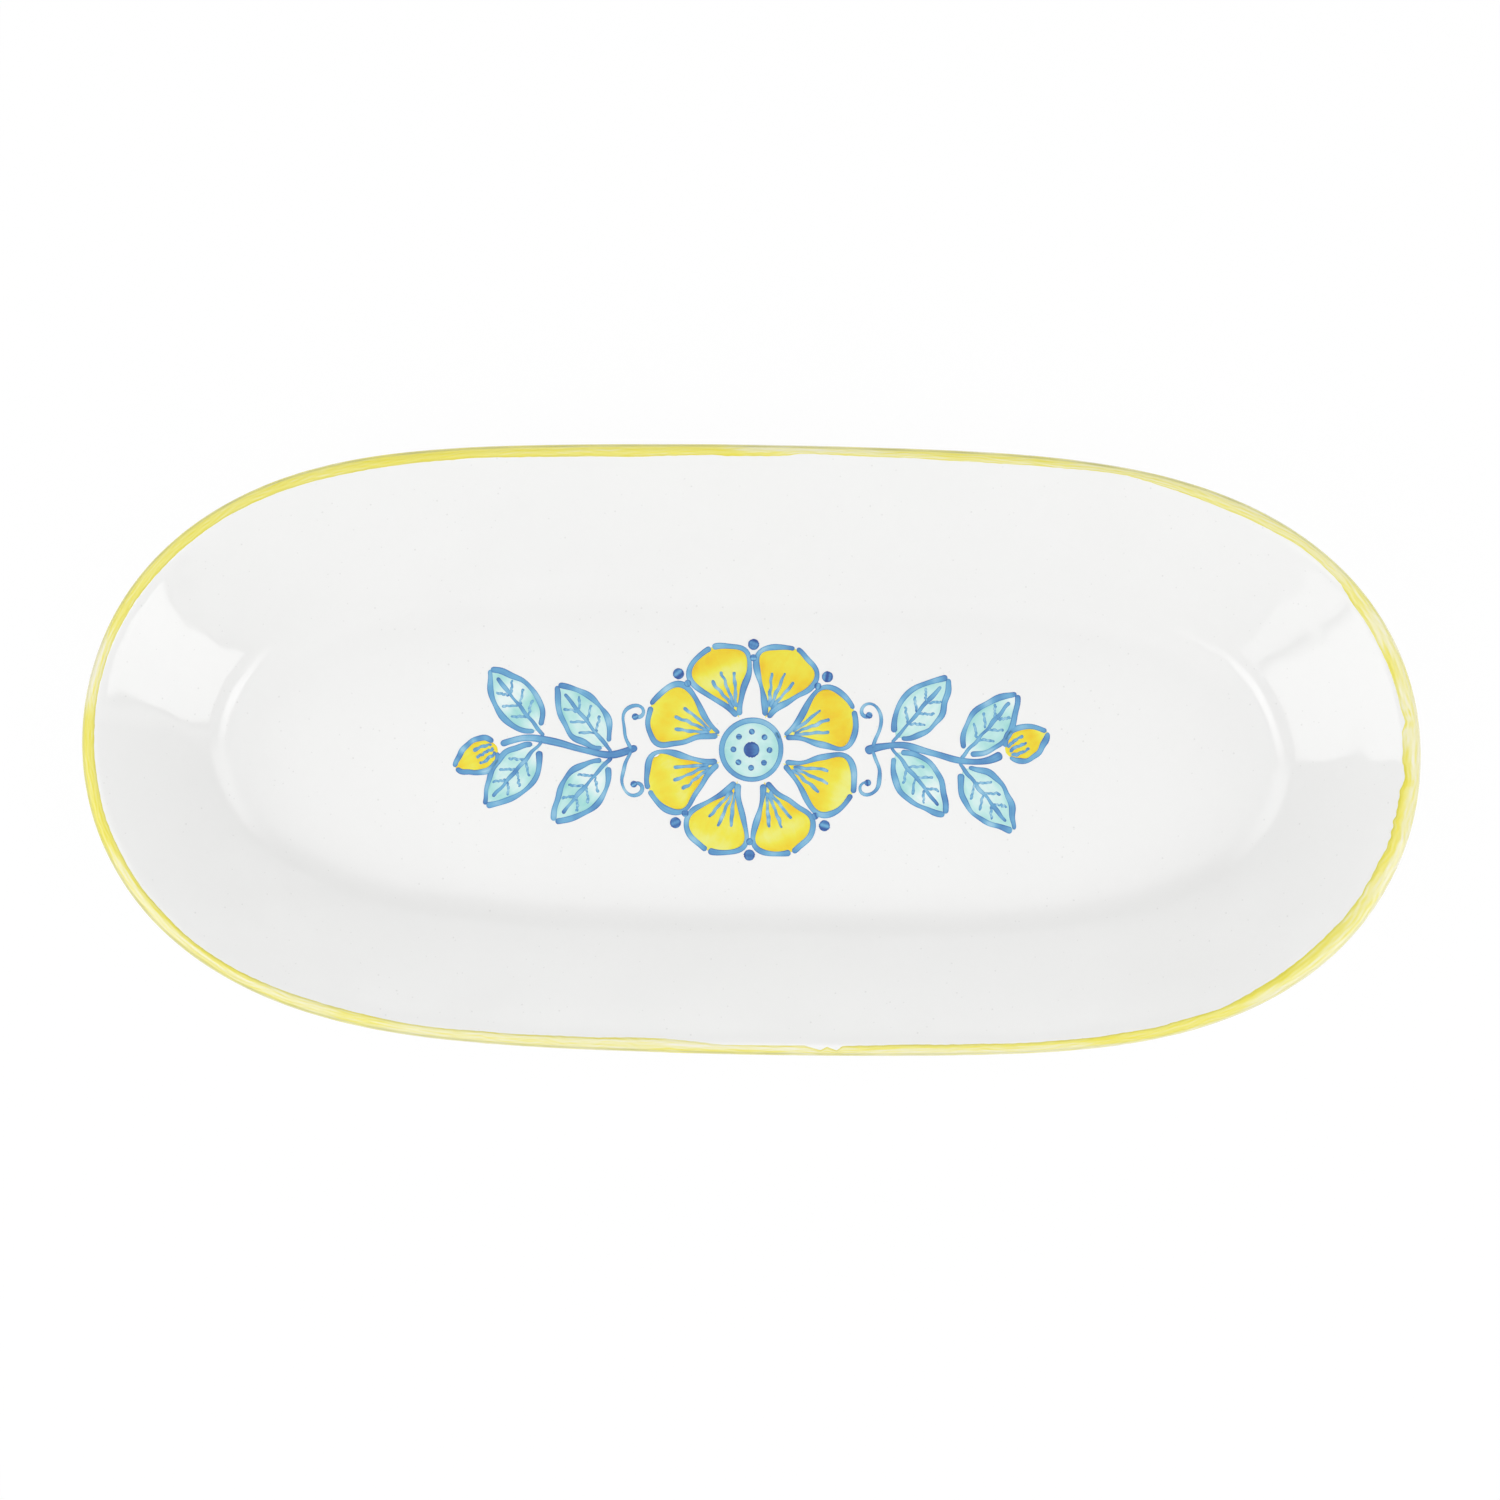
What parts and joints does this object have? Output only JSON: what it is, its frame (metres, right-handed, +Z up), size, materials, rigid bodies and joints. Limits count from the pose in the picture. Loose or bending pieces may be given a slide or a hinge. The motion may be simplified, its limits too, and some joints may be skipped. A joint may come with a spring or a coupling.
{
  "type": "oval serving platter",
  "caption": "Long oval serving platter in white-glazed earthenware with sloping walls, a flat well, a brushed yellow rim and a painted floral garland, standing on a foot ring.",
  "frame": {"origin": "centre of the foot ring's footprint, on the surface that the platter stands on", "axes": "+X along the platter's length, +Y across it, +Z up"},
  "size_m": [0.45, 0.2046, 0.04],
  "materials": {
    "bare_clay": "fired buff earthenware, matt, bare on the foot ring's tread",
    "white_glaze": "glossy opaque white glaze, slightly wavy, with small pinholes",
    "yellow_band": "brushed yellow glaze colour, uneven in strength",
    "gold_wash": "watery golden yellow brush colour under a glossy surface",
    "aqua_wash": "watery aqua brush colour under a glossy surface",
    "blue_line": "cobalt blue brush line under a glossy surface"
  },
  "bodies": {
    "root": {"clay_body": "bare_clay", "glaze_coat": "white_glaze", "foot_recess_glaze": "white_glaze", "rim_band": "yellow_band", "flower_centre": "aqua_wash", "petal_1": "gold_wash", "petal_2": "gold_wash", "petal_3": "gold_wash", "petal_4": "gold_wash", "petal_5": "gold_wash", "petal_6": "gold_wash", "petal_7": "gold_wash", "petal_8": "gold_wash", "leaf_right_1": "aqua_wash", "leaf_right_2": "aqua_wash", "leaf_right_3": "aqua_wash", "leaf_right_4": "aqua_wash", "leaf_left_1": "aqua_wash", "leaf_left_2": "aqua_wash", "leaf_left_3": "aqua_wash", "leaf_left_4": "aqua_wash", "stem_right": "blue_line", "stem_left": "blue_line", "bud_right": "gold_wash", "bud_left": "gold_wash"}
  },
  "joints": []
}
